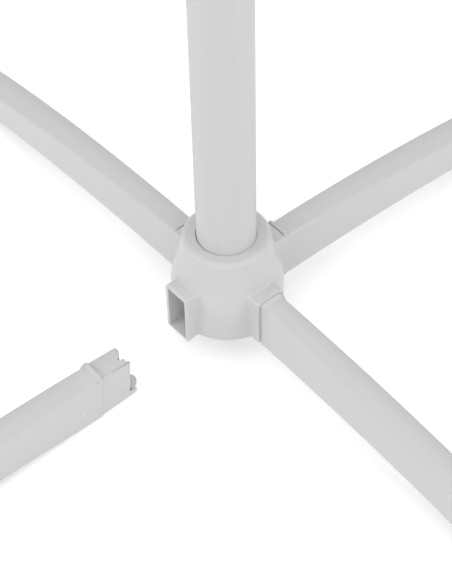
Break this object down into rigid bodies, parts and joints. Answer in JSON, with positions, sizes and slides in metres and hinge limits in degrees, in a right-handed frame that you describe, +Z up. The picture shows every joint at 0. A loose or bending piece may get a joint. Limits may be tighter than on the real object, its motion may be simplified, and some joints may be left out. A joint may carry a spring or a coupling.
{
  "type": "free-standing rotary clothesline",
  "caption": "Umbrella-type folding clothes dryer on a telescopic turning mast, with arched plug-in legs, one pulled out of its socket and lying on the floor.",
  "frame": {"origin": "on the floor, on the mast's axis", "axes": "+Z up the mast, +X to the right and +Y away from someone facing it; the legs lie on the diagonals and the arms on the axes"},
  "size_m": [1.701, 1.701, 1.5434],
  "materials": {
    "white_plastic": "satin moulded",
    "white_tube": "satin powder coat",
    "white_coated_aluminium": "white satin coat",
    "grey_plastic": "satin moulded",
    "dark_plastic": "satin moulded",
    "pale_bush": "smooth",
    "grey_rubber": "matt",
    "bright_steel": "zinc plated",
    "brass": "turned",
    "line_cord": "smooth sheath"
  },
  "bodies": {
    "base": {"base_hub": "white_plastic", "hub_bush": "pale_bush"},
    "leg_back_right": {"leg_back_right": "white_plastic", "pad_back_right": "grey_rubber"},
    "leg_back_left": {"leg_back_left": "white_plastic", "pad_back_left": "grey_rubber"},
    "leg_front_left": {"leg_front_left": "white_plastic", "pad_front_left": "grey_rubber"},
    "leg_front_right": {"leg_front_right": "white_plastic", "pad_front_right": "grey_rubber"},
    "mast": {"mast_lower": "white_tube", "mast_foot": "pale_bush", "retaining_washer": "bright_steel", "retaining_screw": "bright_steel", "clamp_collar": "grey_plastic", "slide_bush": "pale_bush", "clamp_insert": "brass"},
    "clamp": {"clamp_screw": "bright_steel", "clamp_knob": "dark_plastic"},
    "upper": {"mast_upper": "white_tube", "mast_guide": "pale_bush", "crown": "grey_plastic", "crown_pins": "bright_steel", "crown_cap": "grey_plastic", "drying_line": "line_cord"},
    "runner": {"runner": "grey_plastic", "runner_pins": "bright_steel", "latch_pin": "bright_steel"},
    "latch": {"latch_lever": "dark_plastic"},
    "arm_right": {"arm_right": "white_coated_aluminium", "arm_cap_right": "grey_plastic", "bracket_right": "bright_steel"},
    "arm_back": {"arm_back": "white_coated_aluminium", "arm_cap_back": "grey_plastic", "bracket_back": "bright_steel"},
    "arm_left": {"arm_left": "white_coated_aluminium", "arm_cap_left": "grey_plastic", "bracket_left": "bright_steel"},
    "arm_front": {"arm_front": "white_coated_aluminium", "arm_cap_front": "grey_plastic", "bracket_front": "bright_steel"},
    "strut_right": {"strut_right": "white_coated_aluminium", "rivet_right": "bright_steel"},
    "strut_back": {"strut_back": "white_coated_aluminium", "rivet_back": "bright_steel"},
    "strut_left": {"strut_left": "white_coated_aluminium", "rivet_left": "bright_steel"},
    "strut_front": {"strut_front": "white_coated_aluminium", "rivet_front": "bright_steel"}
  },
  "joints": [
    {"name": "leg_pull_back_right", "type": "slide", "parent": "base", "child": "leg_back_right", "axis": [0.7071, 0.7071, 0], "range_m": [0, 0.06]},
    {"name": "leg_pull_back_left", "type": "slide", "parent": "base", "child": "leg_back_left", "axis": [-0.7071, 0.7071, 0], "range_m": [0, 0.06]},
    {"name": "leg_plug_front_left", "type": "hinge", "parent": "base", "child": "leg_front_left", "pos_m": [-0.31922, -0.31922, 1.17739], "axis": [0.7071, -0.7071, 0], "range_deg": [0, 4.52]},
    {"name": "leg_pull_front_right", "type": "slide", "parent": "base", "child": "leg_front_right", "axis": [0.7071, -0.7071, 0], "range_m": [0, 0.06]},
    {"name": "mast_spin", "type": "hinge", "parent": "base", "child": "mast", "pos_m": [0, 0, 0.093], "axis": [0, 0, 1], "continuous": true},
    {"name": "clamp_turn", "type": "hinge", "parent": "mast", "child": "clamp", "pos_m": [0, -0.046, 0.814], "axis": [0, -1, 0], "range_deg": [0, 270]},
    {"name": "height_slide", "type": "slide", "parent": "mast", "child": "upper", "axis": [0, 0, 1], "range_m": [0, 0.25]},
    {"name": "runner_slide", "type": "slide", "parent": "upper", "child": "runner", "axis": [0, 0, -1], "range_m": [0, 0.37333], "deforming": ["drying_line"]},
    {"name": "latch_press", "type": "hinge", "parent": "runner", "child": "latch", "pos_m": [0.02687, -0.02687, 1.25935], "axis": [0.7071, 0.7071, 0], "range_deg": [0, 10], "stiffness_Nm_per_rad": 0.6},
    {"name": "arm_fold_right", "type": "hinge", "parent": "runner", "child": "arm_right", "pos_m": [0.052, 0, 1.27335], "axis": [0, -1, 0], "range_deg": [0, 67.32]},
    {"name": "arm_fold_back", "type": "hinge", "parent": "runner", "child": "arm_back", "pos_m": [0, 0.052, 1.27335], "axis": [1, 0, 0], "range_deg": [0, 67.32]},
    {"name": "arm_fold_left", "type": "hinge", "parent": "runner", "child": "arm_left", "pos_m": [-0.052, 0, 1.27335], "axis": [0, 1, 0], "range_deg": [0, 67.32]},
    {"name": "arm_fold_front", "type": "hinge", "parent": "runner", "child": "arm_front", "pos_m": [0, -0.052, 1.27335], "axis": [-1, 0, 0], "range_deg": [0, 67.32]},
    {"name": "strut_fold_right", "type": "hinge", "parent": "upper", "child": "strut_right", "pos_m": [0.052, 0, 1.5], "axis": [0, 1, 0], "range_deg": [0, 67.32]},
    {"name": "strut_fold_back", "type": "hinge", "parent": "upper", "child": "strut_back", "pos_m": [0, 0.052, 1.5], "axis": [-1, 0, 0], "range_deg": [0, 67.32]},
    {"name": "strut_fold_left", "type": "hinge", "parent": "upper", "child": "strut_left", "pos_m": [-0.052, 0, 1.5], "axis": [0, -1, 0], "range_deg": [0, 67.32]},
    {"name": "strut_fold_front", "type": "hinge", "parent": "upper", "child": "strut_front", "pos_m": [0, -0.052, 1.5], "axis": [1, 0, 0], "range_deg": [0, 67.32]}
  ],
  "couplings": [
    {"joint": "arm_fold_right", "follows": "runner_slide", "rad_per_m": 3.1466},
    {"joint": "arm_fold_back", "follows": "runner_slide", "rad_per_m": 3.1466},
    {"joint": "arm_fold_left", "follows": "runner_slide", "rad_per_m": 3.1466},
    {"joint": "arm_fold_front", "follows": "runner_slide", "rad_per_m": 3.1466},
    {"joint": "strut_fold_right", "follows": "runner_slide", "rad_per_m": 3.1466},
    {"joint": "strut_fold_back", "follows": "runner_slide", "rad_per_m": 3.1466},
    {"joint": "strut_fold_left", "follows": "runner_slide", "rad_per_m": 3.1466},
    {"joint": "strut_fold_front", "follows": "runner_slide", "rad_per_m": 3.1466}
  ]
}
